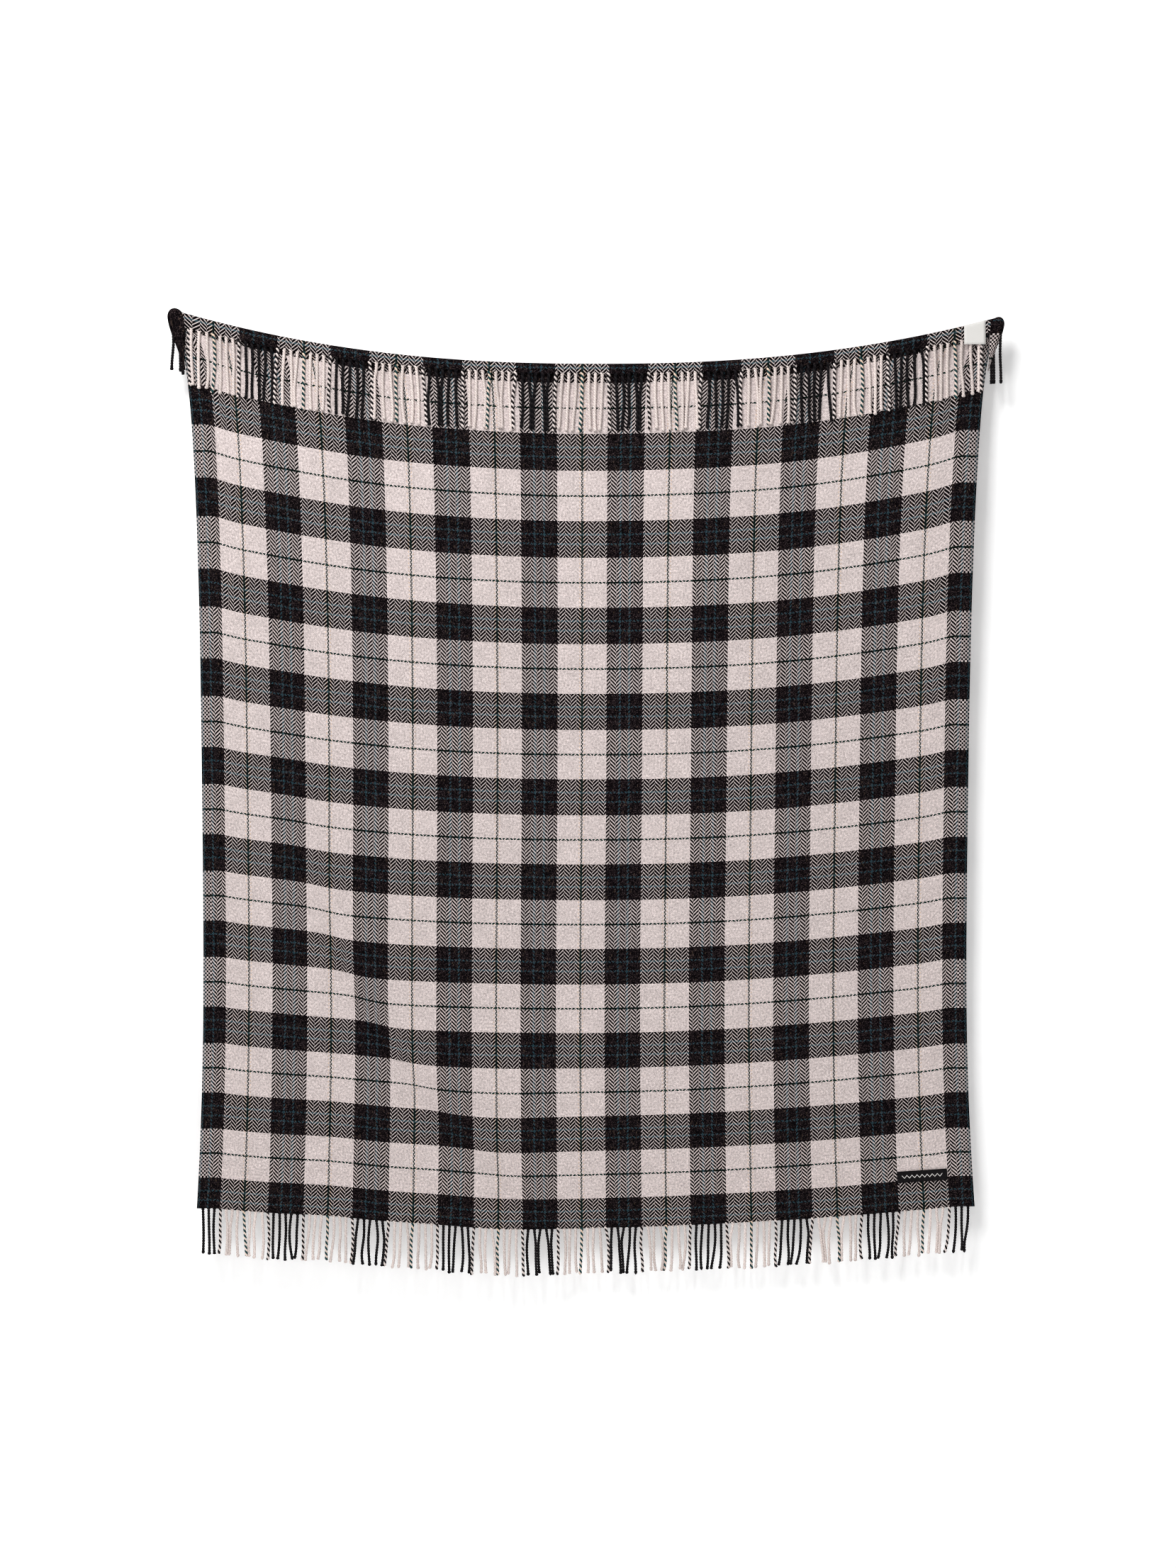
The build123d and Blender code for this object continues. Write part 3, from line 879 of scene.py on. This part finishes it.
def build_care_label():
    """The label folded over the fold at the right, and the stitches in front and behind."""
    crest = fold_height(CARE_X)
    slope = (fold_height(CARE_X + MM) - fold_height(CARE_X - MM)) / (2 * MM)
    reach = FOLD_RADIUS + CLOTH_THICKNESS / 2 + CARE_GAP
    path = []
    for t in np.linspace(0, 1, CARE_FRONT_ROWS):
        lift = CARE_LIFT * (1 - t) ** CARE_LIFT_POWER
        path.append((CARE_X, -reach - lift, -FOLD_RADIUS - (CARE_FRONT - FOLD_RADIUS) * (1 - t)))
    for angle in np.linspace(0, math.pi, CARE_FOLD_ROWS)[1:-1]:
        path.append((CARE_X, -reach * math.cos(angle), -FOLD_RADIUS + reach * math.sin(angle)))
    for t in np.linspace(0, 1, CARE_BACK_ROWS):
        path.append((CARE_X, reach, -FOLD_RADIUS - (CARE_BACK - FOLD_RADIUS) * t))
    half_across = (CARE_WIDTH / 2, 0, slope * CARE_WIDTH / 2)
    label = strip("care_ribbon", np.array(path) + (0, 0, crest), half_across, CARE_THICKNESS)
    for vertex in label.data.vertices:  # its two edges are cut level
        tilt = slope * (vertex.co.x - CARE_X)
        below = -FOLD_RADIUS - (vertex.co.z - tilt - crest)
        depth = CARE_FRONT if vertex.co.y < 0 else CARE_BACK
        if below > 0:
            vertex.co.z -= tilt * below / (depth - FOLD_RADIUS)
    ends = []
    half = np.array([CARE_STITCH_HALF, 0, 0])
    front_y, back_y = -reach - CARE_STITCH_GAP - CARE_STITCH_LIFT, reach + CARE_STITCH_GAP
    for y, drop in ((front_y, CARE_FRONT), (back_y, CARE_BACK)):
        for number in np.arange(CARE_STITCHES) - (CARE_STITCHES - 1) / 2:
            middle = np.array([CARE_X + number * CARE_STITCH_PITCH, y, crest - drop + CARE_STITCH_HEM])
            ends.append((middle - half, middle + half))
    return label, stitches("care_ribbon_thread", ends, CARE_THREAD, arch_height=0)


# ---- The scene

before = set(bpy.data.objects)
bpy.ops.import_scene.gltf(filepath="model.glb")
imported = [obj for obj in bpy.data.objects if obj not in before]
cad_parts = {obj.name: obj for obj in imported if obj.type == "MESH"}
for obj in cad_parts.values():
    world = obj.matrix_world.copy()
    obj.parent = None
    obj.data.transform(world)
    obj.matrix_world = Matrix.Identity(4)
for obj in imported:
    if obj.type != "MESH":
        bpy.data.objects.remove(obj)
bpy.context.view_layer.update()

YARN = yarn_material("twisted yarn", sheen=0.015)
THREAD_YARN = yarn_material("sewing thread", sheen=0.0)
WEAVE = weave_material()

cloth = finish_piece(build_cloth(), WEAVE, "plaid_weave", "blanket_cloth")
left_bunch = build_bunch(
    "left_corner_bunch",
    LEFT_CORNER,
    inward=1,
    radius=15.5 * MM,
    top=0.5 * MM,
    length=110 * MM,
    lean=18 * MM,
    picks=(25, 0, 6),
)
right_bunch = build_bunch(
    "right_corner_bunch",
    RIGHT_CORNER,
    inward=-1,
    radius=13 * MM,
    top=-2 * MM,
    length=96 * MM,
    lean=19 * MM,
    picks=(14, 57, 0),
)
bunches = [finish_piece(bunch, WEAVE, "plaid_weave") for bunch in (left_bunch, right_bunch)]

strand_across = np.arange(-OUTER_STRAND, OUTER_STRAND + 1) * STRAND_PITCH
hem = body_place(strand_across, BODY_LENGTH)
hem[:, 2] += ROOT_DEPTH
fringe_pieces = build_fringe(
    "bottom_fringe",
    hem,
    np.full(len(strand_across), BOTTOM_STRAND),
    spread=3.6 * MM,
    lean=1.2 * MM,
    pairs=0.12,
    depth=bottom_depth,
    fullness=BOTTOM_FULLNESS,
)

# The bunched corners draw their strands to these distances in from them, and take up some of their length
LEFT_ROOTS, RIGHT_ROOTS = np.array([12, 24, 33, 42]) * MM, np.array([48, 29, 19, 10]) * MM
SHORTENED, LEFT_SHARE, RIGHT_SHARE = 3, 0.80, 0.89

fold_x = hung_x(strand_across, 0 * strand_across)
fold_x[: len(LEFT_ROOTS)] = LEFT_CORNER + LEFT_ROOTS
fold_x[-len(RIGHT_ROOTS) :] = RIGHT_CORNER - RIGHT_ROOTS
top_length = np.full(len(strand_across), TOP_STRAND)
top_length[:SHORTENED] *= LEFT_SHARE
top_length[-SHORTENED:] *= RIGHT_SHARE
raw_edge_height = fold_height(fold_x) - flap_depth(fold_x) + ROOT_DEPTH
fringe_pieces += build_fringe(
    "top_fringe",
    np.stack([fold_x, 0 * fold_x - FOLD_RADIUS, raw_edge_height], -1),
    top_length,
    spread=2.8 * MM,
    lean=1.0 * MM,
    pairs=0.14,
    depth=top_depth,
    fullness=TOP_FULLNESS,
)

woven_label, label_thread = build_woven_label()
finish_piece(woven_label, tape_material(), "label_tape", "woven_label")
finish_piece(label_thread, THREAD_YARN, "label_thread", "woven_label_stitches")

care_label, care_thread = build_care_label()
finish_piece(care_label, satin_material(), "label_satin", "care_label")
finish_piece(care_thread, THREAD_YARN, "care_thread", "care_label_stitches")

# ---- The room: a white wall close behind, which is clear from behind, and a pale floor

WALL_Y, FLOOR_Z, ROOM = 50 * MM, -2.35, 6.0
ROOM_WHITE, ROOM_GLOW = (0.93, 0.93, 0.93, 1), 0.15


def white_material(name):
    """Matt white paint that glows faintly, as the walls of a bright studio do."""
    material, shader, tree = new_material(name, roughness=0.9)
    shader.inputs["Base Color"].default_value = ROOM_WHITE
    shader.inputs["Emission Color"].default_value = (1, 1, 1, 1)
    shader.inputs["Emission Strength"].default_value = ROOM_GLOW
    return material, shader, tree


def room_panel(name, material, corners):
    """A flat side of the room."""
    panel = new_object(name, corners, [(0, 1, 2, 3)])
    panel.data.materials.append(material)
    return panel


floor_material, _, _ = white_material("white room")
wall_material, wall_shader, wall_tree = white_material("white wall")
clear = wall_tree.nodes.new("ShaderNodeBsdfTransparent")
facing = wall_tree.nodes.new("ShaderNodeNewGeometry")
choose = wall_tree.nodes.new("ShaderNodeMixShader")
wall_tree.links.new(facing.outputs["Backfacing"], choose.inputs[0])
wall_tree.links.new(wall_shader.outputs[0], choose.inputs[1])
wall_tree.links.new(clear.outputs[0], choose.inputs[2])
wall_tree.links.new(choose.outputs[0], wall_tree.nodes["Material Output"].inputs["Surface"])

wall = room_panel(
    "wall",
    wall_material,
    [(-ROOM, WALL_Y, FLOOR_Z), (ROOM, WALL_Y, FLOOR_Z), (ROOM, WALL_Y, ROOM), (-ROOM, WALL_Y, ROOM)],
)
wall.visible_shadow = False  # so the lamp behind it lights the blanket's back
floor = room_panel(
    "floor",
    floor_material,
    [(-ROOM, -ROOM, FLOOR_Z), (ROOM, -ROOM, FLOOR_Z), (ROOM, ROOM, FLOOR_Z), (-ROOM, ROOM, FLOOR_Z)],
)

# ---- Light: a soft key from the upper left in front, a broad fill, and some light on the back

LIT_PLACE = (0, 0, -0.7)  # the middle of the blanket
LAMPS = {  # where each one is, its size and its power in watts
    "key": ((-1.25, -2.9, 2.4), 1.5, 175),
    "fill": ((0.6, -4.5, 0.4), 3.0, 30),
    "back": ((0.8, 3.5, 0.6), 2.5, 60),
}
STUDIO_WHITE, STUDIO_LIGHT = (0.95, 0.95, 0.95, 1), 0.2

for name, (place, size, power) in LAMPS.items():
    lamp = bpy.data.lights.new(name, "AREA")
    lamp.size = size
    lamp.energy = power
    lamp_object = bpy.data.objects.new(name, lamp)
    lamp_object.location = place
    lamp_object.rotation_euler = (Vector(LIT_PLACE) - Vector(place)).to_track_quat("-Z", "Y").to_euler()
    bpy.context.scene.collection.objects.link(lamp_object)

world = bpy.data.worlds.new("studio")
world.use_nodes = True
background = world.node_tree.nodes["Background"]
background.inputs["Color"].default_value = STUDIO_WHITE
background.inputs["Strength"].default_value = STUDIO_LIGHT
bpy.context.scene.world = world

# ---- Camera, level and square on to the blanket

CAMERA_X, CAMERA_DISTANCE, CAMERA_Z = 0.0107, 6.0, -0.746
PICTURE_HEIGHT = 2.788  # what the picture takes in at the blanket, from its lower edge to its upper one
SENSOR = 36

camera = bpy.data.cameras.new("camera")
camera.sensor_width = SENSOR
camera.lens = SENSOR * CAMERA_DISTANCE / PICTURE_HEIGHT
camera_object = bpy.data.objects.new("camera", camera)
camera_object.location = (CAMERA_X, -CAMERA_DISTANCE, CAMERA_Z)
camera_object.rotation_euler = (math.pi / 2, 0, 0)
scene = bpy.context.scene
scene.collection.objects.link(camera_object)
scene.camera = camera_object
scene.view_settings.view_transform = "Standard"
# A narrow pixel filter, and a denoiser that takes the weave's own colours as they are, keep the weave crisp
scene.cycles.filter_width = 1.2
scene.cycles.denoising_prefilter = "NONE"
